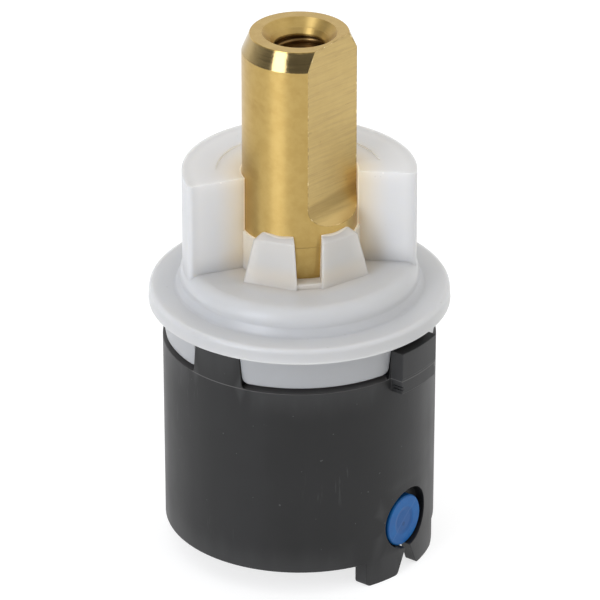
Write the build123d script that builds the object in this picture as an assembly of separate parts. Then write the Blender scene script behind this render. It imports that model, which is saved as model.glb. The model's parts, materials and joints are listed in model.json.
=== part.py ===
from build123d import *
import os
from math import cos, radians, sin

# Ceramic-disc diverter cartridge, in millimetres.
# The origin is on the stem's axis, in the plane that the bottom legs stand on. +Z points up the stem.
# The gap in the guard wall faces -Y, and the locating key, with its lug and its plug, points along KEY_ANGLE.

# Main sizes
KEY_ANGLE = -45.0          # direction of the key legs, the lug and the plug
LEG_HEIGHT = 2.2           # how far the key legs reach below the housing's rim
BODY_R = 11.45             # outside of the housing, at the windows
RIM_R = 11.38              # outside of the housing at its lower rim: the moulding has a little draft
WALL_THICKNESS = 1.2       # housing wall
BORE_R = BODY_R - WALL_THICKNESS
RIM_Z = LEG_HEIGHT         # lower rim of the housing
FLOOR_Z = 8.6              # top of the housing's thick floor
SEAT_Z = 22.45             # top of the housing, where the cap's flange rests
STEM_R = 4.7625            # stem, turned from 3/8 in bar
STEM_TOP_Z = 46.5
RUNNING_GAP = 0.02         # oil gap between the lapped discs
SLOP = 0.1                 # loose fit of one moulded part in another

# Windows in the housing wall and the cap's snap tabs in them
WINDOW_COUNT = 4
WINDOW_SILL_Z = 19.05
WINDOW_HALF_TOP = 6.4
WINDOW_HALF_SILL = 6.12
WINDOW_CORNER_R = 0.4
POST_HALF = 2.25           # the posts between the windows
TAB_GAP = 0.07
TAB_BOTTOM_Z = 19.5
TAB_CORNER_R = 0.6
TAB_TOP_R = 11.52
TAB_BOTTOM_R = 11.22

# Lug on the housing, under the flange
LUG_R = 12.6
LUG_HALF = 2.3
LUG_BOTTOM_Z = 17.9
LUG_TOP_Z = 21.63
LUG_STEP_Z = 19.3
LUG_STEP = 0.07
LUG_NICK = 0.12            # small nick in one side of the lug
LUG_NICK_Z = 18.63
LUG_NICK_HEIGHT = 0.45
LUG_SLIT_Z = (18.22, 18.5)
LUG_SLIT_HEIGHT = 0.1

# Key legs
LEG_INNER_R = 10.35
LEG_NEAR_SIDE = -4.55
LEG_FAR_SIDE = 5.04
LEG_NEAR_ROUND = 0.4
LEG_FAR_ROUND = 0.8
SLOT_HALF_TOP = 0.33
SLOT_HALF_BOTTOM = 1.33
PLUG_HOLE_Z = 4.95
PLUG_HOLE_R = 2.74
PLUG_HOLE_FLOOR = 10.25    # distance from the axis to the bottom of the plug's hole

# Plug in the side of the housing
PLUG_Z = 4.56
PLUG_R = 2.25
PLUG_FACE = 11.0
PLUG_HEAD = PLUG_FACE - PLUG_HOLE_FLOOR
PLUG_SHANK_R = 1.55
PLUG_SHANK_END = 7.4
PLUG_RING_R = 0.45         # section radius of the plug's seal
PLUG_RING_AT = 8.7
PLUG_DISH_R = 1.3
PLUG_DISH_DEPTH = 0.06

# Water passages: one inlet and two outlets, a third of a turn apart
PORT_PITCH_R = 5.7
PORT_R = 2.3
INLET_ANGLE = KEY_ANGLE + 180.0
PORT_ANGLES = {"inlet": INLET_ANGLE, "left_outlet": INLET_ANGLE + 120.0, "right_outlet": INLET_ANGLE - 120.0}
PORT_RING_SECTION_R = 0.8
PORT_RING_R = 3.4
PORT_POCKET_R = PORT_RING_R + PORT_RING_SECTION_R
PORT_POCKET_DEPTH = 1.4
GASKET_LOBE_R = 3.7
GASKET_HUB_R = 3.2
GASKET_POCKET_DEPTH = 1.0
GASKET_PROUD = 0.25        # how far the gasket stands above the floor

# Ceramic discs and their driver
FIXED_DISC_R = 10.0
FIXED_DISC_THICK = 3.0
FIXED_DISC_Z = FLOOR_Z + GASKET_PROUD
RIB_HALF = 0.8
RIB_R = 9.15
MOVING_DISC_R = 9.6
MOVING_DISC_THICK = 3.0
MOVING_DISC_Z = FIXED_DISC_Z + FIXED_DISC_THICK + RUNNING_GAP
CHANNEL_INNER_R = 3.4
CHANNEL_OUTER_R = 8.0
CHANNEL_HALF_ANGLE = 75.0
CHANNEL_DEPTH = 1.4
DRIVER_Z = MOVING_DISC_Z + MOVING_DISC_THICK
DRIVER_R = 9.4
DRIVER_PLATE = 1.7
DRIVER_HUB_R = 6.4
PRONG_HALF = 1.5
PRONG_INNER_R = 7.6
PRONG_DEPTH = 1.5
STOP_ANGLE = 90.0          # middle of the driver's stop lug
STOP_HALF_ANGLE = 15.0
STOP_R = 8.2
STOP_HEIGHT = 1.3
TURN = 60.0                # the stem turns this far each way from the closed middle
STOP_CLEARANCE_ANGLE = 1.0

# Stem
STEM_NECK_R = 4.72         # stem below the fine step, inside the cap
STEM_STEP_Z = 29.1
STEM_CHAMFER_Z = 44.92
STEM_FACE_R = 4.1
COLLAR_R = 6.55
COLLAR_BOTTOM_Z = 18.95
COLLAR_TOP_Z = 20.4
TANG_LENGTH = 8.0
TANG_WIDTH = 4.0
TANG_DEPTH = 2.0
FLAT_DISTANCE = 3.37       # from the axis to the milled flat
FLAT_END_Z = 32.5
FLAT_CUTTER_R = 1.92
THREAD_R = 2.45            # tapped hole, at its major radius
THREAD_DEPTH = 12.0
COUNTERSINK_R = 3.1
STEM_RING_SECTION_R = 0.7
STEM_GROOVE_R = 3.35
STEM_GROOVE_HALF = 0.85
STEM_RING_Z = {"stem_lower_o_ring": 22.3, "stem_upper_o_ring": 24.5}
WASHER_THICK = 0.5

# Cap
FLANGE_R = 12.62
FLANGE_THICK = 1.25
FLANGE_ROUND_R = 0.35
SKIRT_R = BORE_R - SLOP
SKIRT_BOTTOM_Z = 16.9
CAP_BORE_R = 4.8
CAP_CAVITY_R = 6.8
FLOOR_OF_CAP_Z = 25.9
SHOULDER_FOOT_R = 10.4
SHOULDER_EDGE_R = 10.0
SHOULDER_EDGE_Z = 24.4
SHOULDER_TOP_R = 9.9
SHOULDER_ROUND_R = 1.2
SHOULDER_FOOT_ROUND_R = 0.3
CAP_RING_SECTION_R = 0.5
CAP_RING_Z = 18.2
CAP_GROOVE_HALF = 0.65

# Guard wall and guide fingers on the cap
WALL_R = 9.75
WALL_INNER_R = 4.85
WALL_TOP_Z = 34.1
WALL_START = -13.3
WALL_END = 180.0 - WALL_START
WALL_CORNER_R = 0.35
POCKET_R = 6.9
POCKET_CHORD_Y = 0.7
POCKET_DEPTH = 0.12
FINGER_ANGLE = 28.0        # each flat outer face's bearing, from the middle of the opening
FINGER_BASE_X = 5.87       # flat outer face, from the axis
FINGER_TIP_X = 5.25
FINGER_BEVEL_Z = 29.65
FINGER_FACE_X = 4.75
FINGER_TOP_Z = 30.2
FINGER_TO_WALL = 2.55      # from a wall end's plane to the side of the finger that is parallel to it
FINGER_SLOT_HALF_BASE = 1.0
FINGER_SLOT_HALF_TOP = 1.2
GUIDE_R = 5.02             # thin collar that joins the fingers to the wall
GUIDE_TOP_Z = 29.3
WEB_X = 5.9                # low web that closes the foot of the slot between the fingers
WEB_Z = 26.35

UP = (Align.CENTER, Align.CENTER, Align.MIN)


def cylinder(radius, bottom, top):
    """An upright cylinder on the axis."""
    return Pos(0, 0, bottom) * Cylinder(radius, top - bottom, align=UP)


def ring(inner, outer, bottom, top):
    """An upright tube on the axis."""
    return cylinder(outer, bottom, top) - cylinder(inner, bottom - 1, top + 1)


def block(x0, x1, y0, y1, z0, z1):
    """A box between two corners."""
    return Pos((x0 + x1) / 2, (y0 + y1) / 2, (z0 + z1) / 2) * Box(x1 - x0, y1 - y0, z1 - z0)


def polar(radius, angle):
    """A point in the plane, from its radius and its angle in degrees."""
    return (radius * cos(radians(angle)), radius * sin(radians(angle)))


def lathe(points, rounds=()):
    """A turned solid, from the (radius, height) corners of its half section; rounds lists (corner, radius)."""
    section = make_face(Polyline(*[(radius, 0, height) for radius, height in points], close=True))
    for (radius, height), round_radius in rounds:
        corner = section.vertices().sort_by_distance((radius, 0, height))[0]
        section = fillet(corner, round_radius)
    return revolve(section, axis=Axis.Z)


def sector(inner, outer, start, end, bottom, top):
    """A part of a tube, between two angles."""
    middle = (start + end) / 2
    edges = [
        ThreePointArc(polar(outer, start), polar(outer, middle), polar(outer, end)),
        Line(polar(outer, end), polar(inner, end)),
        ThreePointArc(polar(inner, end), polar(inner, middle), polar(inner, start)),
        Line(polar(inner, start), polar(outer, start)),
    ]
    return Pos(0, 0, bottom) * extrude(make_face(edges), amount=top - bottom)


def radial_prism(half_low, half_high, low, high, start, end, low_round=0.0, high_round=0.0):
    """A bar along +X, from start to end, whose section is a trapezium with rounded corners."""
    section = make_face(Polyline((-half_low, low), (half_low, low), (half_high, high), (-half_high, high), close=True))
    if low_round:
        section = fillet(section.vertices().group_by(Axis.Y)[0], low_round)
    if high_round:
        section = fillet(section.vertices().group_by(Axis.Y)[-1], high_round)
    return Pos(start, 0, 0) * extrude(Plane.YZ * section, amount=end - start)


def lying_cylinder(radius, height, start, end):
    """A cylinder along +X, at a height, from start to end."""
    return Pos(start, 0, height) * Rot(0, 90, 0) * Cylinder(radius, end - start, align=UP)


def at_key(shape):
    """Turns a shape made along +X to the key's direction."""
    return Rot(0, 0, KEY_ANGLE) * shape


def port_place(angle):
    """The middle of a water passage, on the plane."""
    x, y = polar(PORT_PITCH_R, angle)
    return Pos(x, y, 0)


def gasket_outline(margin, bottom, top):
    """Three round lobes about the passages, joined by a hub."""
    shape = cylinder(GASKET_HUB_R - margin, bottom, top)
    for angle in PORT_ANGLES.values():
        shape += port_place(angle) * cylinder(GASKET_LOBE_R - margin, bottom, top)
    return shape


def leg(side_low, side_high, low, high, rounds):
    """A curved leg below the rim, made along +X; low and high are its foot's corners, rounds their radii."""
    section = make_face(Polyline((side_low, RIM_Z), (low, 0), (high, 0), (side_high, RIM_Z), close=True))
    for corner, round_radius in zip((low, high), rounds):
        section = fillet(section.vertices().sort_by_distance((corner, 0, 0))[0], round_radius)
    bar = extrude(Plane.YZ * section, amount=BODY_R + 1)
    return bar & ring(LEG_INNER_R, RIM_R, 0, RIM_Z)


def key_legs():
    """The two legs under the plug, with a flared slot between them."""
    near = leg(LEG_NEAR_SIDE, -SLOT_HALF_TOP, LEG_NEAR_SIDE, -SLOT_HALF_BOTTOM, (LEG_NEAR_ROUND, LEG_NEAR_ROUND))
    far = leg(SLOT_HALF_TOP, LEG_FAR_SIDE, SLOT_HALF_BOTTOM, LEG_FAR_SIDE, (LEG_NEAR_ROUND, LEG_FAR_ROUND))
    return near + far


def back_leg():
    """The plain leg opposite the key."""
    return leg(-LEG_FAR_SIDE, LEG_FAR_SIDE, -LEG_FAR_SIDE, LEG_FAR_SIDE, (LEG_FAR_ROUND, LEG_FAR_ROUND))


def post():
    """One post between two windows, with parallel sides, made along +X."""
    bar = block(0, BODY_R + 1, -POST_HALF, POST_HALF, WINDOW_SILL_Z, SEAT_Z)
    return bar & ring(BORE_R, BODY_R, WINDOW_SILL_Z, SEAT_Z)


def lug():
    """The locating lug that stands out of the housing just under the flange."""
    root = BODY_R - 0.15
    shape = lathe([
        (root, LUG_BOTTOM_Z),
        (LUG_R - LUG_STEP, LUG_BOTTOM_Z),
        (LUG_R - LUG_STEP, LUG_STEP_Z),
        (LUG_R, LUG_STEP_Z),
        (LUG_R, LUG_TOP_Z),
        (root, LUG_TOP_Z),
    ])
    shape &= block(0, LUG_R + 1, -LUG_HALF, LUG_HALF, LUG_BOTTOM_Z, LUG_TOP_Z)
    shape -= block(BODY_R + 0.2, LUG_R + 1, LUG_HALF - LUG_NICK, LUG_HALF + 1,
                   LUG_NICK_Z, LUG_NICK_Z + LUG_NICK_HEIGHT)
    for height in LUG_SLIT_Z:
        shape -= block(BODY_R, LUG_R - 0.25, -LUG_HALF - 1, -LUG_HALF + LUG_NICK, height, height + LUG_SLIT_HEIGHT)
    return shape


def housing():
    """The moulded cartridge body, with its windows, lug, key legs, passages and plug hole."""
    body = lathe([
        (0, RIM_Z),
        (RIM_R, RIM_Z),
        (BODY_R, WINDOW_SILL_Z),
        (BODY_R, SEAT_Z),
        (0, SEAT_Z),
    ])
    body -= cylinder(BORE_R, FLOOR_Z, SEAT_Z + 1)
    window = radial_prism(WINDOW_HALF_SILL, WINDOW_HALF_TOP, WINDOW_SILL_Z, SEAT_Z + 0.5,
                          BORE_R - 2, BODY_R + 2, low_round=WINDOW_CORNER_R)
    for index in range(WINDOW_COUNT):
        turn = index * 360 / WINDOW_COUNT
        body -= Rot(0, 0, turn) * window
    for index in range(WINDOW_COUNT):
        body += Rot(0, 0, KEY_ANGLE + index * 360 / WINDOW_COUNT) * post()
    body += at_key(lug())
    body += at_key(key_legs())
    body += Rot(0, 0, KEY_ANGLE + 180) * back_leg()
    for side in (0, 180):
        rib = block(RIB_R, BORE_R + 0.3, -RIB_HALF, RIB_HALF, FLOOR_Z, FIXED_DISC_Z + FIXED_DISC_THICK - 0.4)
        body += Rot(0, 0, KEY_ANGLE + side) * rib
    for angle in PORT_ANGLES.values():
        body -= port_place(angle) * cylinder(PORT_R, RIM_Z - 1, FLOOR_Z + 1)
        body -= port_place(angle) * cylinder(PORT_POCKET_R, RIM_Z - 1, RIM_Z + PORT_POCKET_DEPTH)
    body -= gasket_outline(0, FLOOR_Z - GASKET_POCKET_DEPTH, FLOOR_Z + 1)
    body -= at_key(lying_cylinder(PLUG_HOLE_R, PLUG_HOLE_Z, PLUG_HOLE_FLOOR, BODY_R + 2))
    body -= at_key(lying_cylinder(PLUG_SHANK_R + PLUG_RING_R, PLUG_Z, PLUG_SHANK_END - 0.2, PLUG_HOLE_FLOOR + 1))
    slot_neck = block(PLUG_HOLE_FLOOR, BODY_R + 1, -SLOT_HALF_TOP, SLOT_HALF_TOP, RIM_Z - 0.01, PLUG_Z - PLUG_R)
    body -= at_key(slot_neck)
    return body


def side_plug():
    """The plug in the side of the housing, with a shallow dished face and a groove for its seal."""
    groove_r = PLUG_SHANK_R - PLUG_RING_R
    end = PLUG_FACE - PLUG_SHANK_END
    groove = PLUG_FACE - PLUG_RING_AT
    plug = lathe([
        (0, PLUG_DISH_DEPTH),
        (PLUG_DISH_R - 0.35, PLUG_DISH_DEPTH),
        (PLUG_DISH_R, 0),
        (PLUG_R - 0.1, 0),
        (PLUG_R, 0.1),
        (PLUG_R, PLUG_HEAD),
        (PLUG_SHANK_R, PLUG_HEAD),
        (PLUG_SHANK_R, groove - PLUG_RING_R),
        (groove_r, groove - PLUG_RING_R),
        (groove_r, groove + PLUG_RING_R),
        (PLUG_SHANK_R, groove + PLUG_RING_R),
        (PLUG_SHANK_R, end),
        (0, end),
    ])
    return at_key(Pos(PLUG_FACE, 0, PLUG_Z) * Rot(0, -90, 0) * plug)


def side_plug_o_ring():
    """The seal on the plug's shank."""
    middle_r = PLUG_SHANK_R
    return at_key(Pos(PLUG_RING_AT, 0, PLUG_Z) * Rot(0, 90, 0) * Torus(middle_r, PLUG_RING_R))


def port_seal(angle):
    """The seal under one water passage."""
    height = RIM_Z + PORT_POCKET_DEPTH - PORT_RING_SECTION_R
    return port_place(angle) * Pos(0, 0, height) * Torus(PORT_RING_R, PORT_RING_SECTION_R)


def disc_seat_gasket():
    """The one-piece rubber seal between the floor and the fixed disc."""
    gasket = gasket_outline(SLOP, FLOOR_Z - GASKET_POCKET_DEPTH, FIXED_DISC_Z)
    for angle in PORT_ANGLES.values():
        gasket -= port_place(angle) * cylinder(PORT_R, 0, SEAT_Z)
    return gasket


def fixed_disc():
    """The lower ceramic disc: three passages, and two notches that stop it from turning."""
    top = FIXED_DISC_Z + FIXED_DISC_THICK
    disc = cylinder(FIXED_DISC_R, FIXED_DISC_Z, top)
    for angle in PORT_ANGLES.values():
        disc -= port_place(angle) * cylinder(PORT_R, 0, SEAT_Z)
    for side in (0, 180):
        notch = block(RIB_R - SLOP, BODY_R, -RIB_HALF - SLOP, RIB_HALF + SLOP, 0, SEAT_Z)
        disc -= Rot(0, 0, KEY_ANGLE + side) * notch
    return disc


def moving_disc():
    """The upper ceramic disc: a curved channel underneath, and two notches that the driver's prongs turn."""
    top = MOVING_DISC_Z + MOVING_DISC_THICK
    disc = cylinder(MOVING_DISC_R, MOVING_DISC_Z, top)
    disc -= sector(CHANNEL_INNER_R, CHANNEL_OUTER_R, INLET_ANGLE - CHANNEL_HALF_ANGLE,
                   INLET_ANGLE + CHANNEL_HALF_ANGLE, MOVING_DISC_Z - 1, MOVING_DISC_Z + CHANNEL_DEPTH)
    for side in (0, 180):
        notch = block(PRONG_INNER_R - 3 * SLOP, BODY_R, -PRONG_HALF - SLOP / 2, PRONG_HALF + SLOP / 2,
                      top - PRONG_DEPTH - SLOP, SEAT_Z)
        disc -= Rot(0, 0, KEY_ANGLE + side) * notch
    return disc


def disc_driver():
    """The moulded carrier that turns the moving disc: prongs below, a slot and a stop lug above."""
    plate_top = DRIVER_Z + DRIVER_PLATE
    hub_top = COLLAR_BOTTOM_Z - 0.05
    driver = cylinder(DRIVER_R, DRIVER_Z, plate_top) + cylinder(DRIVER_HUB_R, DRIVER_Z, hub_top)
    for side in (0, 180):
        prong = ring(PRONG_INNER_R, DRIVER_R, DRIVER_Z - PRONG_DEPTH, DRIVER_Z)
        prong &= block(0, BODY_R, -PRONG_HALF, PRONG_HALF, 0, SEAT_Z)
        driver += Rot(0, 0, KEY_ANGLE + side) * prong
    driver += sector(DRIVER_HUB_R - 0.4, STOP_R, STOP_ANGLE - STOP_HALF_ANGLE, STOP_ANGLE + STOP_HALF_ANGLE,
                     plate_top - 0.3, plate_top + STOP_HEIGHT)
    half_length = TANG_LENGTH / 2 + SLOP / 2
    half_width = TANG_WIDTH / 2 + SLOP / 2
    slot = block(-half_length, half_length, -half_width, half_width, COLLAR_BOTTOM_Z - TANG_DEPTH - SLOP, SEAT_Z)
    driver -= at_key(slot)
    return driver


def milled_flat():
    """What the cutter takes off one side of the stem, with the round run-out at its lower end."""
    cut = block(FLAT_DISTANCE, STEM_R + 2, -STEM_R - 1, STEM_R + 1, FLAT_END_Z, STEM_TOP_Z + 1)
    run_out = Pos(FLAT_DISTANCE + FLAT_CUTTER_R, 0, FLAT_END_Z) * Rot(90, 0, 0) * Cylinder(FLAT_CUTTER_R, 3 * STEM_R)
    return cut + run_out


def stem():
    """The brass stem: a tang and a collar inside, two seal grooves, a milled flat and a tapped hole."""
    half_section = [(0, COLLAR_BOTTOM_Z), (COLLAR_R, COLLAR_BOTTOM_Z), (COLLAR_R, COLLAR_TOP_Z),
                    (STEM_NECK_R, COLLAR_TOP_Z)]
    for height in STEM_RING_Z.values():
        half_section += [
            (STEM_NECK_R, height - STEM_GROOVE_HALF),
            (STEM_GROOVE_R, height - STEM_GROOVE_HALF),
            (STEM_GROOVE_R, height + STEM_GROOVE_HALF),
            (STEM_NECK_R, height + STEM_GROOVE_HALF),
        ]
    half_section += [
        (STEM_NECK_R, STEM_STEP_Z),
        (STEM_R, STEM_STEP_Z + 0.04),
        (STEM_R, STEM_CHAMFER_Z),
        (STEM_FACE_R, STEM_TOP_Z),
        (COUNTERSINK_R, STEM_TOP_Z),
        (THREAD_R, STEM_TOP_Z - (COUNTERSINK_R - THREAD_R)),
        (THREAD_R, STEM_TOP_Z - THREAD_DEPTH),
        (0, STEM_TOP_Z - THREAD_DEPTH - 0.6 * THREAD_R),
    ]
    shaft = lathe(half_section)
    shaft -= at_key(milled_flat())
    tang = block(-TANG_LENGTH / 2, TANG_LENGTH / 2, -TANG_WIDTH / 2, TANG_WIDTH / 2,
                 COLLAR_BOTTOM_Z - TANG_DEPTH, COLLAR_BOTTOM_Z + 0.5)
    return shaft + at_key(tang)


def stem_o_ring(height):
    """A seal in one groove of the stem."""
    return Pos(0, 0, height) * Torus(STEM_GROOVE_R + STEM_RING_SECTION_R, STEM_RING_SECTION_R)


def thrust_washer():
    """The slippery washer between the stem's collar and the cap."""
    return ring(STEM_NECK_R + 0.15, COLLAR_R, COLLAR_TOP_Z + RUNNING_GAP, COLLAR_TOP_Z + WASHER_THICK)


def cap_o_ring():
    """The seal between the cap's skirt and the housing's bore."""
    return Pos(0, 0, CAP_RING_Z) * Torus(BORE_R - CAP_RING_SECTION_R, CAP_RING_SECTION_R)


def snap_tab():
    """One snap tab of the cap, which fills a window of the housing."""
    cone = lathe([
        (SKIRT_R - 0.5, TAB_BOTTOM_Z),
        (TAB_BOTTOM_R, TAB_BOTTOM_Z),
        (TAB_TOP_R, SEAT_Z - 0.35),
        (TAB_TOP_R, SEAT_Z + 0.3),
        (SKIRT_R - 0.5, SEAT_Z + 0.3),
    ])
    bar = radial_prism(WINDOW_HALF_SILL - TAB_GAP, WINDOW_HALF_TOP - TAB_GAP, TAB_BOTTOM_Z, SEAT_Z + 0.3,
                       0, BODY_R + 2, low_round=TAB_CORNER_R)
    tab = cone & bar
    side = POST_HALF + TAB_GAP
    for angle in (-45, 45):
        tab -= Rot(0, 0, angle) * block(BORE_R - 1, BODY_R + 2, -side, side, 0, SEAT_Z)
    return tab


def guard_wall():
    """The C-shaped wall that shields the stem and stops the handle."""
    wall = sector(WALL_INNER_R, WALL_R, WALL_START, WALL_END, SHOULDER_EDGE_Z, WALL_TOP_Z)
    outer_corners = wall.edges().filter_by(Axis.Z).sort_by(lambda edge: -edge.center().Y)[-2:]
    wall = fillet(outer_corners, WALL_CORNER_R)
    pocket = cylinder(POCKET_R, WALL_TOP_Z - POCKET_DEPTH, WALL_TOP_Z + 1)
    pocket &= block(-POCKET_R, POCKET_R, POCKET_CHORD_Y, POCKET_R, 0, STEM_TOP_Z)
    return wall - pocket


def guide_finger():
    """The right-hand finger that steadies the stem: flat outer face, one side parallel to the wall's end."""
    side_view = make_face(Polyline(
        (0, FLOOR_OF_CAP_Z - 0.5),
        (FINGER_BASE_X, FLOOR_OF_CAP_Z - 0.5),
        (FINGER_BASE_X, FLOOR_OF_CAP_Z),
        (FINGER_TIP_X, FINGER_BEVEL_Z),
        (FINGER_FACE_X, FINGER_TOP_Z),
        (0, FINGER_TOP_Z),
        close=True,
    ))
    finger = Rot(0, 0, -90 + FINGER_ANGLE) * extrude(Plane.XZ * side_view, amount=WALL_R, both=True)
    finger &= block(0, WALL_R, -WALL_R, 0, 0, STEM_TOP_Z)
    finger -= Rot(0, 0, WALL_START) * block(-WALL_R, 2 * WALL_R, -FINGER_TO_WALL, WALL_R, 0, STEM_TOP_Z)
    slot = radial_prism(FINGER_SLOT_HALF_BASE, FINGER_SLOT_HALF_TOP, FLOOR_OF_CAP_Z - 0.6, FINGER_TOP_Z + 1, 0, WALL_R)
    return finger - Rot(0, 0, -90) * slot


def guide_collar():
    """The thin collar about the stem that joins the fingers to the wall, with the slot's foot closed by a web."""
    collar = ring(CAP_BORE_R - 1, GUIDE_R, FLOOR_OF_CAP_Z - 0.5, GUIDE_TOP_Z)
    slot = block(-FINGER_SLOT_HALF_BASE - 0.5, FINGER_SLOT_HALF_BASE + 0.5, -WALL_R, 0,
                 FLOOR_OF_CAP_Z - 1, GUIDE_TOP_Z + 1)
    web = block(-FINGER_SLOT_HALF_BASE - 0.2, FINGER_SLOT_HALF_BASE + 0.2, -WEB_X, -CAP_BORE_R + 1,
                FLOOR_OF_CAP_Z - 0.5, WEB_Z)
    return collar - slot + web


def bonnet_cap():
    """The moulded cap: skirt and snap tabs in the housing, flange, guard wall and guide fingers."""
    ring_low = CAP_RING_Z - CAP_GROOVE_HALF
    ring_high = CAP_RING_Z + CAP_GROOVE_HALF
    groove_r = BORE_R - 2 * CAP_RING_SECTION_R
    flange_top = SEAT_Z + FLANGE_THICK
    cap = lathe([
        (CAP_CAVITY_R, SKIRT_BOTTOM_Z),
        (SKIRT_R, SKIRT_BOTTOM_Z),
        (SKIRT_R, ring_low),
        (groove_r, ring_low),
        (groove_r, ring_high),
        (SKIRT_R, ring_high),
        (SKIRT_R, SEAT_Z),
        (FLANGE_R, SEAT_Z),
        (FLANGE_R - 0.1, flange_top),
        (SHOULDER_FOOT_R, flange_top),
        (SHOULDER_EDGE_R, SHOULDER_EDGE_Z),
        (SHOULDER_TOP_R, FLOOR_OF_CAP_Z),
        (CAP_BORE_R - 1, FLOOR_OF_CAP_Z),
        (CAP_BORE_R - 1, COLLAR_TOP_Z + WASHER_THICK),
        (CAP_CAVITY_R, COLLAR_TOP_Z + WASHER_THICK),
    ], rounds=[
        ((FLANGE_R - 0.1, flange_top), FLANGE_ROUND_R),
        ((SHOULDER_FOOT_R, flange_top), SHOULDER_FOOT_ROUND_R),
        ((SHOULDER_TOP_R, FLOOR_OF_CAP_Z), SHOULDER_ROUND_R),
    ])
    for index in range(WINDOW_COUNT):
        cap += Rot(0, 0, index * 360 / WINDOW_COUNT) * snap_tab()
    cap += guard_wall()
    cap += guide_collar()
    cap += guide_finger() + mirror(guide_finger(), about=Plane.YZ)
    cap -= cylinder(CAP_BORE_R, SKIRT_BOTTOM_Z, STEM_TOP_Z)
    sweep = TURN + STOP_HALF_ANGLE + STOP_CLEARANCE_ANGLE
    stop_top = DRIVER_Z + DRIVER_PLATE + STOP_HEIGHT + 0.2
    cap -= sector(CAP_CAVITY_R - 0.8, STOP_R + 0.2, STOP_ANGLE - sweep, STOP_ANGLE + sweep,
                  SKIRT_BOTTOM_Z - 1, stop_top)
    return cap


pieces = {
    "housing": housing(),
    "bonnet_cap": bonnet_cap(),
    "stem": stem(),
    "thrust_washer": thrust_washer(),
    "disc_driver": disc_driver(),
    "moving_disc": moving_disc(),
    "fixed_disc": fixed_disc(),
    "disc_seat_gasket": disc_seat_gasket(),
    "cap_o_ring": cap_o_ring(),
    "side_plug": side_plug(),
    "side_plug_o_ring": side_plug_o_ring(),
}
for name, height in STEM_RING_Z.items():
    pieces[name] = stem_o_ring(height)
for name, angle in PORT_ANGLES.items():
    pieces[name + "_seal"] = port_seal(angle)

os.makedirs("parts", exist_ok=True)
for name, shape in pieces.items():
    export_step(shape.solid(), f"parts/{name}.step")
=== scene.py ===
import json
import math

import bpy
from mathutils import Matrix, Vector


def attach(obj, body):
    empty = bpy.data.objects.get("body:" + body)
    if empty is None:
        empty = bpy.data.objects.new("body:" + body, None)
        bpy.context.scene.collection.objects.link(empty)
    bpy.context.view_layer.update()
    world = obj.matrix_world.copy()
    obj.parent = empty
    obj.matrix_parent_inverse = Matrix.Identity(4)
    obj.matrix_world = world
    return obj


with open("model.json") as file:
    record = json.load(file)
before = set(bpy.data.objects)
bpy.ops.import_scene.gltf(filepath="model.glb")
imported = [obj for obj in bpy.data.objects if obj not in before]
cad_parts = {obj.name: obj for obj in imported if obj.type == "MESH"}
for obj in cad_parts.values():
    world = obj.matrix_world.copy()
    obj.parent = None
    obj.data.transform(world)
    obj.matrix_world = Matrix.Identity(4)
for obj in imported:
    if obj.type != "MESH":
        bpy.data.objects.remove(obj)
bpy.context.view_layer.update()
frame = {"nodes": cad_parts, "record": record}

# Lengths are in metres, in the CAD frame: +Z up the stem, the gap in the guard wall towards -Y.
MM = 0.001
# The lug, the side plug, the slotted legs and the stem's flat all face the key angle.
KEY_ANGLE = math.radians(-45.0)

# Camera
CAMERA_AZIMUTH = math.radians(-8.0)
CAMERA_ELEVATION = math.radians(27.13)
CAMERA_DISTANCE = 484.6 * MM
CAMERA_TARGET = Vector((0.0, 0.0, 21.92 * MM))
CAMERA_LENS = 348.0
CAMERA_SHIFT_X = 0.0009

# Look
BEVEL_SAMPLES = 6
FLOOR_HALF = 4.0
FLOOR_GLOW = 0.74

# Light: bearings are in degrees round the object, with 0 at the camera and the left side below 0.
WINDOW_LEFT = (-59.0, -53.0)
WINDOW_RIGHT = (-32.0, -25.0)
WINDOW_LIGHT = 5.0
RIGHT_SIDE = (20.0, 50.0)
RIGHT_LIGHT = 0.92
BEHIND = (104.0, 128.0)
OVERHEAD_LIGHT = 1.15

# Housing
WINDOW_SILL = 19.05 * MM
PLUG_Z = 4.56 * MM
PLUG_DISH_R = 1.3 * MM
GATE_DROP = 0.36 * MM

# Cap
FLANGE_BOTTOM = 22.45 * MM
FLANGE_TOP = 23.7 * MM
FLANGE_R = 12.62 * MM
SHOULDER_TOP = 25.9 * MM
SHOULDER_R = 9.9 * MM
WALL_TOP = 34.1 * MM
WALL_INNER_R = 4.85 * MM
POCKET_R = 6.9 * MM
POCKET_DEPTH = 0.12 * MM

# Stem
STEM_R = 4.7625 * MM
STEM_TOP = 46.5 * MM
FLAT_DISTANCE = 3.37 * MM
FLAT_LOW = 30.6 * MM
CHAMFER_LOW = 44.92 * MM
STEM_FACE_R = 4.1 * MM
CUTTER_TILT = math.radians(6.0)
RUN_OUT_TOP = 32.5 * MM
THREAD_ROOT_R = 2.46 * MM
THREAD_CREST_R = 2.05 * MM
THREAD_PITCH = 0.8 * MM
THREAD_TOP = 45.20 * MM
THREAD_TURNS = 12
THREAD_STEPS = 64
COUNTERSINK_R = 3.12 * MM
MOUTH_CREST_R = 2.10 * MM
MOUTH_HIGH_CREST_R = 2.12 * MM
MOUTH_TOP = 45.87 * MM
MOUTH_HIGH_CREST = 45.42 * MM
MOUTH_LOW_CREST = 45.26 * MM
MOUTH_BOTTOM = 45.06 * MM


# ---------------------------------------------------------------- node helpers

def join(tree, value, socket):
    """Feeds a socket from another socket, or sets its value."""
    if isinstance(value, bpy.types.NodeSocket):
        tree.links.new(value, socket)
    else:
        socket.default_value = value


def calc(tree, operation, first, second=0.0):
    """A Math node."""
    node = tree.nodes.new("ShaderNodeMath")
    node.operation = operation
    join(tree, first, node.inputs[0])
    join(tree, second, node.inputs[1])
    return node.outputs[0]


def times(tree, first, second):
    """The product of two values."""
    return calc(tree, "MULTIPLY", first, second)


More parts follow.
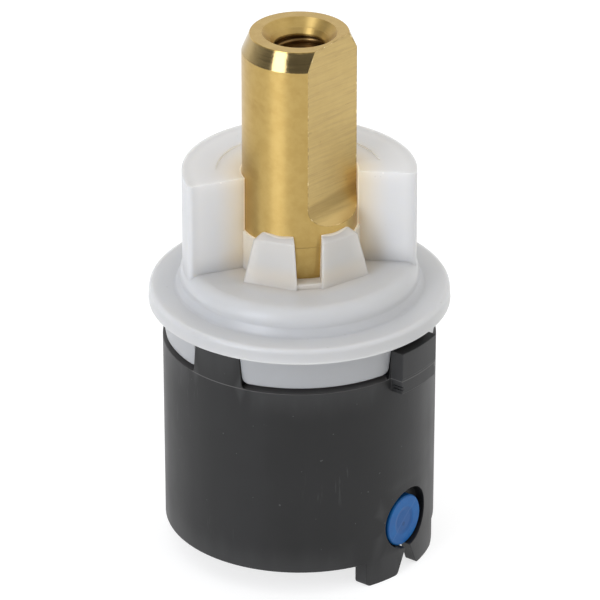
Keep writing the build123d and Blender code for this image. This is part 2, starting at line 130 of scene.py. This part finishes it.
def plus(tree, first, second):
    """The sum of two values."""
    return calc(tree, "ADD", first, second)


def minus(tree, first, second):
    """The first value less the second."""
    return calc(tree, "SUBTRACT", first, second)


def opposite(tree, mask):
    """One where the mask is zero, and zero where it is one."""
    return minus(tree, 1.0, mask)


def over(tree, value, limit):
    """One where the value is above the limit, else zero."""
    return calc(tree, "GREATER_THAN", value, limit)


def under(tree, value, limit):
    """One where the value is below the limit, else zero."""
    return calc(tree, "LESS_THAN", value, limit)


def span(tree, value, low, high, out_low=0.0, out_high=1.0, smooth=True):
    """A smooth step, or a clamped straight ramp, from one range to another."""
    node = tree.nodes.new("ShaderNodeMapRange")
    node.interpolation_type = "SMOOTHSTEP" if smooth else "LINEAR"
    for index, item in enumerate((value, low, high, out_low, out_high)):
        join(tree, item, node.inputs[index])
    return node.outputs[0]


def noise(tree, vector, scale, detail=3.0, roughness=0.5, distortion=0.0):
    """A Noise texture's value."""
    node = tree.nodes.new("ShaderNodeTexNoise")
    join(tree, vector, node.inputs["Vector"])
    node.inputs["Scale"].default_value = scale
    node.inputs["Detail"].default_value = detail
    node.inputs["Roughness"].default_value = roughness
    node.inputs["Distortion"].default_value = distortion
    return node.outputs[0]


def mapped(tree, vector, scale=(1.0, 1.0, 1.0), turn=(0.0, 0.0, 0.0)):
    """Coordinates stretched and then turned."""
    node = tree.nodes.new("ShaderNodeMapping")
    node.vector_type = "POINT"
    join(tree, vector, node.inputs["Vector"])
    node.inputs["Rotation"].default_value = turn
    node.inputs["Scale"].default_value = scale
    return node.outputs[0]


def blend(tree, factor, first, second):
    """A mix of two colours."""
    node = tree.nodes.new("ShaderNodeMix")
    node.data_type = "RGBA"
    join(tree, factor, node.inputs["Factor"])
    join(tree, first if isinstance(first, bpy.types.NodeSocket) else (*first, 1.0), node.inputs["A"])
    join(tree, second if isinstance(second, bpy.types.NodeSocket) else (*second, 1.0), node.inputs["B"])
    return node.outputs["Result"]


def paint(tree, colour, mask, amount, coat):
    """A coat of another colour over the first, where the mask is and as thick as the amount."""
    return blend(tree, times(tree, mask, amount), colour, coat)


def bumped(tree, height, distance, strength=1.0, normal=None):
    """A Bump node's normal; the height is in units of the distance."""
    node = tree.nodes.new("ShaderNodeBump")
    node.inputs["Strength"].default_value = strength
    node.inputs["Distance"].default_value = distance
    join(tree, height, node.inputs["Height"])
    if normal is not None:
        join(tree, normal, node.inputs["Normal"])
    return node.outputs[0]


def rounded(tree, radius):
    """A normal that is averaged over a small radius, so that sharp edges look slightly rounded."""
    node = tree.nodes.new("ShaderNodeBevel")
    node.samples = BEVEL_SAMPLES
    join(tree, radius, node.inputs["Radius"])
    return node.outputs[0]


def material_tree(name):
    """A new material with one Principled shader."""
    material = bpy.data.materials.new(name)
    material.use_nodes = True
    tree = material.node_tree
    tree.nodes.clear()
    output = tree.nodes.new("ShaderNodeOutputMaterial")
    shader = tree.nodes.new("ShaderNodeBsdfPrincipled")
    tree.links.new(shader.outputs[0], output.inputs[0])
    return material, tree, shader


def object_place(tree):
    """Object coordinates, and their parts."""
    coordinates = tree.nodes.new("ShaderNodeTexCoord")
    parts = tree.nodes.new("ShaderNodeSeparateXYZ")
    tree.links.new(coordinates.outputs["Object"], parts.inputs[0])
    return coordinates.outputs["Object"], parts.outputs[0], parts.outputs[1], parts.outputs[2]


def distance_from_axis(tree, x, y):
    """The distance of a point from an axis, from its two coordinates square to it."""
    return calc(tree, "SQRT", plus(tree, times(tree, x, x), times(tree, y, y)))


# ---------------------------------------------------------------- materials

def black_plastic():
    """Charcoal moulded polymer: faint clouding, fine grain, rubbed edges, dust and a few scuffs, and
    painted light on the window sill's top.
    """
    material, tree, shader = material_tree("black_moulded_polymer")
    place, _, _, z = object_place(tree)
    cloud = noise(tree, place, 160.0, 3.0)
    streak = noise(tree, mapped(tree, place, (1.0, 1.0, 0.12)), 420.0, 4.0)
    tone = plus(tree, times(tree, cloud, 0.6), times(tree, streak, 0.4))
    colour = blend(tree, span(tree, tone, 0.35, 0.65), (0.0065, 0.0065, 0.0067), (0.0100, 0.0100, 0.0103))
    scratch = noise(tree, mapped(tree, place, (1.0, 1.0, 0.12), (0.5, 0.3, 0.0)), 3800.0, 2.0, 0.4)
    patch = span(tree, noise(tree, place, 150.0, 2.0), 0.54, 0.66)
    scratched = times(tree, span(tree, scratch, 0.62, 0.72), patch)
    colour = paint(tree, colour, scratched, 0.35, (0.045, 0.045, 0.045))
    speck = span(tree, noise(tree, place, 2600.0, 1.0), 0.77, 0.80)
    colour = paint(tree, colour, speck, 0.30, (0.13, 0.13, 0.13))
    # Painted light: the up-facing top of the window sill is lighter, as though lit from above.
    sill_top_light = under(tree, calc(tree, "ABSOLUTE", minus(tree, z, WINDOW_SILL)), 0.04 * MM)
    colour = blend(tree, sill_top_light, colour, (0.075, 0.072, 0.070))
    edge = tree.nodes.new("ShaderNodeNewGeometry").outputs["Pointiness"]
    worn = span(tree, edge, 0.53, 0.60)
    colour = paint(tree, colour, worn, 0.20, (0.08, 0.08, 0.08))
    join(tree, colour, shader.inputs["Base Color"])
    join(tree, span(tree, tone, 0.3, 0.7, 0.38, 0.50), shader.inputs["Roughness"])
    shader.inputs["IOR"].default_value = 1.40
    grain = noise(tree, place, 5200.0, 2.0)
    wave = noise(tree, place, 240.0, 2.0)
    normal = bumped(tree, wave, 0.03 * MM, 0.5, rounded(tree, 0.12 * MM))
    join(tree, bumped(tree, grain, 0.008 * MM, 0.6, normal), shader.inputs["Normal"])
    return material


def acetal_colour(tree, place, y, z, radius, cloud):
    """Tones of the cap, mostly painted light and shade: a brighter wall, duller fingers, shoulder and rim,
    a painted beige glow near the brass, and painted shade over the housing; with random marks.
    """
    colour = blend(tree, span(tree, cloud, 0.3, 0.7), (0.545, 0.545, 0.545), (0.575, 0.575, 0.575))
    above = above_shoulder(tree, z)
    beside = span(tree, y, -3.7 * MM, -2.4 * MM)
    # Painted shade: the shoulder band is a little darker, and the wall's painted light fades out towards
    # it.
    outer = span(tree, radius, SHOULDER_R - 1.5 * MM, SHOULDER_R)
    colour = paint(tree, colour, outer, 0.9, (0.530, 0.533, 0.538))
    # Painted light: the wall above the shoulder, away from the gap, is brighter.
    wall_light = times(tree, times(tree, above, beside), span(tree, outer, 0.0, 1.0, 1.0, 0.12))
    colour = blend(tree, wall_light, colour, (0.675, 0.675, 0.675))
    # Painted shade: the fingers by the gap are duller.
    finger_shade = times(tree, above, opposite(tree, beside))
    colour = blend(tree, finger_shade, colour, (0.50, 0.50, 0.495))
    # Painted glow: a beige tint near the brass, strongest on the wall, stands in for light shining through
    # the acetal.
    near = span(tree, radius, 4.8 * MM, 7.6 * MM, 1.0, 0.0, smooth=False)
    near = calc(tree, "POWER", near, 1.5)
    brass_glow_tint = times(tree, times(tree, near, above), span(tree, beside, 0.0, 1.0, 0.15, 0.85))
    colour = blend(tree, brass_glow_tint, colour, (0.82, 0.69, 0.47))
    # Painted glow: the same beige tint low on the wall and fingers, close round the stem.
    foot = span(tree, z, SHOULDER_TOP + 2.1 * MM, SHOULDER_TOP + 0.7 * MM)
    foot = times(tree, span(tree, radius, 5.0 * MM, 7.6 * MM, 1.0, 0.0), foot)
    colour = paint(tree, colour, foot, 0.45, (0.66, 0.55, 0.39))
    # Painted shade: the flange's rim just below its top is darker.
    rim = span(tree, radius, FLANGE_R - 0.72 * MM, FLANGE_R - 0.12 * MM)
    rim = times(tree, rim, span(tree, z, FLANGE_TOP, FLANGE_TOP - 0.5 * MM))
    colour = paint(tree, colour, rim, 0.6, (0.45, 0.453, 0.457))
    # Painted shade: the tabs below the flange, over the housing, are darker.
    tab_shade = span(tree, z, FLANGE_BOTTOM - 0.85 * MM, FLANGE_BOTTOM + 0.05 * MM, 1.0, 0.0)
    colour = blend(tree, tab_shade, colour, (0.355, 0.360, 0.368))
    mark = span(tree, noise(tree, place, 1500.0, 2.0), 0.74, 0.79)
    return paint(tree, colour, mark, 0.25, (0.30, 0.29, 0.27))


def above_shoulder(tree, z):
    """One on the wall and the fingers, and zero lower down."""
    return span(tree, z, SHOULDER_TOP - 0.3 * MM, SHOULDER_TOP + 1.7 * MM)


def white_acetal():
    """Natural acetal: light goes a little way into it; a painted glow on the bore's inner face round the
    stem, and on the pocket's step, stands in for light shining through it.
    """
    material, tree, shader = material_tree("white_natural_acetal")
    place, x, y, z = object_place(tree)
    radius = distance_from_axis(tree, x, y)
    cloud = noise(tree, place, 190.0, 3.0)
    join(tree, acetal_colour(tree, place, y, z, radius, cloud), shader.inputs["Base Color"])

    in_pocket = times(tree, span(tree, radius, POCKET_R + 0.05 * MM, POCKET_R + 0.10 * MM, 1.0, 0.0),
                      over(tree, z, WALL_TOP - POCKET_DEPTH - 0.04 * MM))
    # Painted glow: the bore's inner face round the stem, and the step at the pocket's edge, give off light
    # of their own.
    pocket_edge = times(tree, in_pocket, over(tree, radius, POCKET_R - 0.02 * MM))
    pocket_edge = times(tree, pocket_edge, under(tree, z, WALL_TOP - 0.01 * MM))
    lining = span(tree, radius, WALL_INNER_R + 0.05 * MM, WALL_INNER_R + 0.13 * MM, 1.0, 0.0)
    lining = times(tree, lining, above_shoulder(tree, z))
    glow = plus(tree, times(tree, lining, 0.28), times(tree, pocket_edge, 0.12))
    shader.inputs["Emission Color"].default_value = (1.0, 0.88, 0.66, 1.0)
    join(tree, glow, shader.inputs["Emission Strength"])

    shader.inputs["Subsurface Weight"].default_value = 0.8
    shader.inputs["Subsurface Radius"].default_value = (1.0, 0.95, 0.85)
    shader.inputs["Subsurface Scale"].default_value = 1.8 * MM
    shader.inputs["IOR"].default_value = 1.48
    join(tree, span(tree, cloud, 0.3, 0.7, 0.30, 0.40), shader.inputs["Roughness"])

    ripple = noise(tree, place, 300.0, 2.0)
    grain = noise(tree, place, 4200.0, 2.0)
    edge_radius = span(tree, in_pocket, 0.0, 1.0, 0.2 * MM, 0.03 * MM)
    normal = bumped(tree, ripple, 0.04 * MM, 0.5, rounded(tree, edge_radius))
    join(tree, bumped(tree, grain, 0.005 * MM, 0.5, normal), shader.inputs["Normal"])
    return material


def cutter_marks(tree, place):
    """Fine and deep slanting marks of the milling cutter, as two values."""
    slant = mapped(tree, place, turn=(0.0, 0.0, -KEY_ANGLE))
    slant = mapped(tree, slant, turn=(CUTTER_TILT, 0.0, 0.0))
    fine = noise(tree, mapped(tree, slant, (0.03, 0.03, 1.0)), 5600.0, 4.0, 0.75)
    deep = noise(tree, mapped(tree, slant, (0.10, 0.10, 1.0)), 2100.0, 3.0, 0.6)
    return fine, deep


def brass_body(tree, place, inside_cut, fine, deep):
    """Base tones: mottling, stains and pits everywhere, and cutter marks on the flat."""
    mottle = noise(tree, place, 1100.0, 3.0, 0.6)
    colour = blend(tree, span(tree, mottle, 0.30, 0.70), (0.490, 0.333, 0.108), (0.532, 0.371, 0.129))
    stain = span(tree, noise(tree, place, 330.0, 5.0, 0.6, 0.4), 0.56, 0.74)
    colour = paint(tree, colour, stain, 0.30, (0.36, 0.215, 0.055))
    pit = noise(tree, mapped(tree, place, (1.0, 1.0, 0.5)), 1300.0, 2.0)
    colour = paint(tree, colour, span(tree, pit, 0.735, 0.765), 0.45, (0.12, 0.08, 0.03))
    colour = paint(tree, colour, inside_cut, 0.5, (0.61, 0.47, 0.21))
    groove = times(tree, span(tree, fine, 0.30, 0.62, 1.0, 0.0), inside_cut)
    colour = paint(tree, colour, groove, 0.45, (0.36, 0.245, 0.10))
    gouge = times(tree, span(tree, deep, 0.68, 0.76), inside_cut)
    return paint(tree, colour, gouge, 0.5, (0.22, 0.14, 0.05))


def brass_burr(tree, colour, place, z, radius, on_flat):
    """Bright nicks and dark creases along the edge of the flat: partly a real burr, partly painted glints
    and painted shade.
    """
    outside_r = span(tree, z, CHAMFER_LOW, STEM_TOP, STEM_R, STEM_FACE_R, smooth=False)
    to_edge = calc(tree, "MINIMUM", minus(tree, outside_r, radius), minus(tree, STEM_TOP, z))
    burr = times(tree, span(tree, to_edge, 0.04 * MM, 0.11 * MM, 1.0, 0.0), on_flat)
    burr = times(tree, burr, over(tree, to_edge, 0.018 * MM))
    ragged = noise(tree, place, 1700.0, 3.0, 0.6)
    # Dark creases along the edge, partly a real burr and partly painted shade.
    crease_shade = times(tree, burr, span(tree, ragged, 0.50, 0.44))
    colour = paint(tree, colour, crease_shade, 0.6, (0.20, 0.125, 0.04))
    # Bright nicks along the edge, partly real nicks and partly painted glints.
    nick_glint = times(tree, burr, span(tree, ragged, 0.56, 0.62))
    return paint(tree, colour, nick_glint, 0.9, (0.98, 0.86, 0.52))


def brass_run_out(tree, colour, z, inside_cut):
    """The curved end of the flat: painted shade where it turns away, a painted highlight at its lip."""
    # Painted shade where the curved end turns away.
    scoop_shade = span(tree, z, RUN_OUT_TOP - 1.1 * MM, RUN_OUT_TOP - 0.6 * MM)
    scoop_shade = times(tree, inside_cut, scoop_shade)
    scoop_shade = times(tree, scoop_shade, span(tree, z, RUN_OUT_TOP, RUN_OUT_TOP + 0.5 * MM, 1.0, 0.0))
    colour = paint(tree, colour, scoop_shade, 0.45, (0.26, 0.175, 0.060))
    # Painted highlight at the lip.
    lip = span(tree, z, RUN_OUT_TOP - 1.5 * MM, RUN_OUT_TOP - 1.1 * MM, 1.0, 0.0)
    return paint(tree, colour, times(tree, inside_cut, lip), 0.5, (0.78, 0.57, 0.24))


def brass():
    """Brass: turned rings on the round stretches, slanting cutter marks on the flat, brown stains."""
    material, tree, shader = material_tree("turned_and_milled_brass")
    place, x, y, z = object_place(tree)
    radius = distance_from_axis(tree, x, y)
    outwards = plus(tree, times(tree, x, math.cos(KEY_ANGLE)), times(tree, y, math.sin(KEY_ANGLE)))
    on_flat = times(tree, over(tree, outwards, FLAT_DISTANCE - 0.01 * MM), over(tree, z, FLAT_LOW))
    inside_cut = times(tree, on_flat, under(tree, radius, STEM_R - 0.03 * MM))
    turned_part = opposite(tree, inside_cut)
    turned = noise(tree, mapped(tree, place, (0.02, 0.02, 1.0)), 9000.0, 4.0, 0.7)
    fine, deep = cutter_marks(tree, place)
    on_chamfer = over(tree, z, CHAMFER_LOW + 0.02 * MM)
    bare = times(tree, on_chamfer, turned_part)
    slope = times(tree, bare, over(tree, radius, STEM_FACE_R + 0.03 * MM))

    colour = brass_body(tree, place, inside_cut, fine, deep)
    colour = brass_burr(tree, colour, place, z, radius, on_flat)
    # Painted shade: the deep part of the tapped hole is darkened.
    hole_shade = times(tree, under(tree, radius, 2.6 * MM), span(tree, z, 45.15 * MM, 45.35 * MM, 1.0, 0.0))
    colour = paint(tree, colour, hole_shade, 0.6, (0.20, 0.105, 0.055))
    colour = brass_run_out(tree, colour, z, inside_cut)
    # Painted shade: the chamfer is darkened, standing in for the dark surroundings it reflects.
    colour = paint(tree, colour, slope, 0.6, (0.34, 0.27, 0.15))
    join(tree, colour, shader.inputs["Base Color"])
    shader.inputs["Metallic"].default_value = 1.0

    marks = plus(tree, times(tree, turned, turned_part), times(tree, fine, inside_cut))
    rough = plus(tree, span(tree, marks, 0.3, 0.7, 0.30, 0.38), times(tree, inside_cut, 0.05))
    rough = minus(tree, rough, times(tree, bare, 0.16))
    in_mouth = times(tree, under(tree, radius, COUNTERSINK_R), on_chamfer)
    rough = plus(tree, rough, times(tree, in_mouth, 0.22))
    join(tree, rough, shader.inputs["Roughness"])
    shader.inputs["Anisotropic"].default_value = 0.8
    shader.inputs["Anisotropic Rotation"].default_value = 0.25
    tangent = tree.nodes.new("ShaderNodeTangent")
    tangent.direction_type = "RADIAL"
    tangent.axis = "Z"
    tree.links.new(tangent.outputs[0], shader.inputs["Tangent"])

    dent = noise(tree, place, 700.0, 3.0)
    normal = bumped(tree, dent, 0.010 * MM, 0.25, rounded(tree, 0.06 * MM))
    wavy = times(tree, noise(tree, place, 2200.0, 3.0), slope)
    normal = bumped(tree, wavy, 0.012 * MM, 0.6, normal)
    depth = times(tree, marks, span(tree, inside_cut, 0.0, 1.0, 1.0, 4.0))
    join(tree, bumped(tree, depth, 0.004 * MM, 0.7, normal), shader.inputs["Normal"])
    return material


def blue_plastic():
    """Blue polymer, darker in the dish, with a gate mark under its middle and a faint flow line."""
    material, tree, shader = material_tree("blue_moulded_polymer")
    place, x, y, z = object_place(tree)
    across = plus(tree, times(tree, x, -math.sin(KEY_ANGLE)), times(tree, y, math.cos(KEY_ANGLE)))
    rise = minus(tree, z, PLUG_Z)
    from_middle = distance_from_axis(tree, across, rise)
    cloud = noise(tree, place, 900.0, 3.0)
    band = blend(tree, span(tree, cloud, 0.35, 0.65), (0.001, 0.088, 0.300), (0.004, 0.110, 0.340))
    dish = span(tree, from_middle, PLUG_DISH_R - 0.2 * MM, PLUG_DISH_R, 1.0, 0.0)
    colour = paint(tree, band, dish, 0.8, (0.012, 0.078, 0.250))
    from_gate = distance_from_axis(tree, across, plus(tree, rise, GATE_DROP))
    gate = span(tree, from_gate, 0.14 * MM, 0.26 * MM, 1.0, 0.0)
    colour = paint(tree, colour, gate, 0.5, (0.012, 0.040, 0.130))
    line = calc(tree, "ABSOLUTE", minus(tree, times(tree, across, 0.8), rise))
    flow = span(tree, line, 0.03 * MM, 0.14 * MM, 1.0, 0.0)
    colour = paint(tree, colour, flow, 0.18, (0.10, 0.20, 0.40))
    join(tree, colour, shader.inputs["Base Color"])
    join(tree, span(tree, cloud, 0.3, 0.7, 0.36, 0.48), shader.inputs["Roughness"])
    shader.inputs["IOR"].default_value = 1.30
    shader.inputs["Subsurface Weight"].default_value = 0.1
    shader.inputs["Subsurface Scale"].default_value = 0.4 * MM
    grain = noise(tree, place, 3800.0, 2.0)
    join(tree, bumped(tree, grain, 0.008 * MM, 0.6, rounded(tree, 0.1 * MM)), shader.inputs["Normal"])
    return material


def plain_moulding(name, dark, light, rough, grain_depth=0.006 * MM):
    """A simple moulded, pressed or lapped material with clouding and fine grain."""
    material, tree, shader = material_tree(name)
    place = object_place(tree)[0]
    cloud = noise(tree, place, 500.0, 4.0)
    join(tree, blend(tree, span(tree, cloud, 0.35, 0.65), dark, light), shader.inputs["Base Color"])
    join(tree, span(tree, cloud, 0.3, 0.7, rough - 0.05, rough + 0.05), shader.inputs["Roughness"])
    grain = noise(tree, place, 4500.0, 2.0)
    join(tree, bumped(tree, grain, grain_depth, 0.6), shader.inputs["Normal"])
    return material


MATERIALS = {
    "black_plastic": black_plastic(),
    "white_acetal": white_acetal(),
    "brass": brass(),
    "blue_plastic": blue_plastic(),
    "black_rubber": plain_moulding("black_nitrile_rubber", (0.012,) * 3, (0.022,) * 3, 0.55),
    "alumina": plain_moulding("lapped_alumina", (0.80, 0.79, 0.75), (0.87, 0.86, 0.83), 0.25, 0.002 * MM),
    "grey_plastic": plain_moulding("grey_moulded_polymer", (0.25, 0.26, 0.27), (0.32, 0.33, 0.34), 0.45),
    "ptfe": plain_moulding("white_ptfe", (0.84, 0.84, 0.82), (0.90, 0.90, 0.88), 0.5),
}

for part in frame["record"]["subparts"]:
    for material_slot in frame["nodes"][part["node"]].material_slots:
        material_slot.material = MATERIALS[part["material_slot"]]


# ---------------------------------------------------------------- pieces

def mesh_piece(name, points, faces, material, smooth=True):
    """A new mesh object."""
    mesh = bpy.data.meshes.new(name)
    mesh.from_pydata([tuple(point) for point in points], [], faces)
    mesh.materials.append(MATERIALS[material])
    mesh.polygons.foreach_set("use_smooth", [smooth] * len(mesh.polygons))
    mesh.update()
    piece = bpy.data.objects.new(name, mesh)
    bpy.context.scene.collection.objects.link(piece)
    return piece


def stem_thread():
    """The screw thread in the stem's tapped hole: one ridge that winds down the wall."""
    count = THREAD_TURNS * THREAD_STEPS
    half = 0.42 * THREAD_PITCH
    crest_half = 0.06 * THREAD_PITCH
    points = []
    for index in range(count + 1):
        angle = 2.0 * math.pi * index / THREAD_STEPS
        height = THREAD_TOP - half - THREAD_PITCH * index / THREAD_STEPS
        start = min(1.0, index / (0.5 * THREAD_STEPS))
        crest = THREAD_ROOT_R + (THREAD_CREST_R - THREAD_ROOT_R) * start
        section = (
            (THREAD_ROOT_R, half),
            (crest, crest_half),
            (crest, -crest_half),
            (THREAD_ROOT_R, -half),
        )
        for radius, rise in section:
            points.append((radius * math.cos(angle), radius * math.sin(angle), height + rise))
    faces = []
    for index in range(count):
        for side in range(4):
            first = index * 4 + side
            second = index * 4 + (side + 1) % 4
            faces.append((first, second, second + 4, first + 4))
    faces.append((3, 2, 1, 0))
    last = count * 4
    faces.append((last, last + 1, last + 2, last + 3))
    piece = mesh_piece("stem_thread", points, faces, "brass")
    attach(piece, "rotor")


def thread_mouth():
    """The first turn of the thread, cut down to a cone by the countersink."""
    section = (
        (THREAD_ROOT_R, MOUTH_TOP),
        (MOUTH_HIGH_CREST_R, MOUTH_HIGH_CREST),
        (MOUTH_CREST_R, MOUTH_LOW_CREST),
        (THREAD_ROOT_R, MOUTH_BOTTOM),
    )
    points = []
    for index in range(THREAD_STEPS):
        angle = 2.0 * math.pi * index / THREAD_STEPS
        for radius, height in section:
            points.append((radius * math.cos(angle), radius * math.sin(angle), height))
    faces = []
    for index in range(THREAD_STEPS):
        after = (index + 1) % THREAD_STEPS
        for side in range(4):
            turn = (side + 1) % 4
            faces.append((index * 4 + side, index * 4 + turn, after * 4 + turn, after * 4 + side))
    piece = mesh_piece("thread_mouth", points, faces, "brass", smooth=False)
    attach(piece, "rotor")


stem_thread()
thread_mouth()


# ---------------------------------------------------------------- stage

def floor():
    """A wide pale floor under the key legs."""
    half = FLOOR_HALF
    corners = [(-half, -half, 0.0), (half, -half, 0.0), (half, half, 0.0), (-half, half, 0.0)]
    mesh = bpy.data.meshes.new("floor")
    mesh.from_pydata(corners, [], [(0, 1, 2, 3)])
    piece = bpy.data.objects.new("floor", mesh)
    bpy.context.scene.collection.objects.link(piece)
    material, tree, shader = material_tree("pale_floor")
    tone = noise(tree, object_place(tree)[0], 3.0, 2.0)
    join(tree, blend(tree, tone, (0.34, 0.34, 0.34), (0.36, 0.36, 0.36)), shader.inputs["Base Color"])
    shader.inputs["Roughness"].default_value = 0.9
    shader.inputs["Emission Color"].default_value = (1.0, 1.0, 1.0, 1.0)
    shader.inputs["Emission Strength"].default_value = FLOOR_GLOW
    mesh.materials.append(material)


def studio():
    """Soft light all round, darker in front, with a tall window of light to the left of the camera."""
    world = bpy.data.worlds.new("studio")
    bpy.context.scene.world = world
    world.use_nodes = True
    tree = world.node_tree
    tree.nodes.clear()
    output = tree.nodes.new("ShaderNodeOutputWorld")
    background = tree.nodes.new("ShaderNodeBackground")
    tree.links.new(background.outputs[0], output.inputs[0])
    coordinates = tree.nodes.new("ShaderNodeTexCoord").outputs["Generated"]
    turned = mapped(tree, coordinates, turn=(0.0, 0.0, -CAMERA_AZIMUTH))
    parts = tree.nodes.new("ShaderNodeSeparateXYZ")
    tree.links.new(turned, parts.inputs[0])
    right, away, up = parts.outputs[0], parts.outputs[1], parts.outputs[2]
    bearing = calc(tree, "ARCTAN2", right, times(tree, away, -1.0))
    bearing = times(tree, bearing, 180.0 / math.pi)
    behind = span(tree, calc(tree, "ABSOLUTE", bearing), *BEHIND)
    window = times(tree, span(tree, bearing, *WINDOW_LEFT), span(tree, bearing, *WINDOW_RIGHT, 1.0, 0.0))
    right_side = span(tree, bearing, *RIGHT_SIDE)
    front = span(tree, up, 0.10, 0.18, 0.70, 0.15)
    low = plus(tree, front, times(tree, behind, opposite(tree, front)))
    low = plus(tree, low, times(tree, window, WINDOW_LIGHT))
    low = calc(tree, "MAXIMUM", low, times(tree, right_side, RIGHT_LIGHT))
    overhead = span(tree, up, 0.55, 0.80)
    light = plus(tree, times(tree, low, opposite(tree, overhead)), times(tree, overhead, OVERHEAD_LIGHT))
    join(tree, light, background.inputs["Strength"])
    join(tree, blend(tree, window, (1.0, 1.0, 1.0), (0.96, 1.0, 1.09)), background.inputs["Color"])


def camera():
    """A long lens at the photograph's angle."""
    data = bpy.data.cameras.new("camera")
    data.lens = CAMERA_LENS
    data.shift_x = CAMERA_SHIFT_X
    data.clip_start = 0.01
    data.clip_end = 20.0
    eye = bpy.data.objects.new("camera", data)
    bpy.context.scene.collection.objects.link(eye)
    level = math.cos(CAMERA_ELEVATION)
    towards = Vector((
        math.sin(CAMERA_AZIMUTH) * level,
        -math.cos(CAMERA_AZIMUTH) * level,
        math.sin(CAMERA_ELEVATION),
    ))
    eye.location = CAMERA_TARGET + CAMERA_DISTANCE * towards
    eye.rotation_euler = (-towards).to_track_quat("-Z", "Y").to_euler()
    bpy.context.scene.camera = eye


floor()
studio()
camera()
bpy.context.scene.view_settings.view_transform = "Standard"
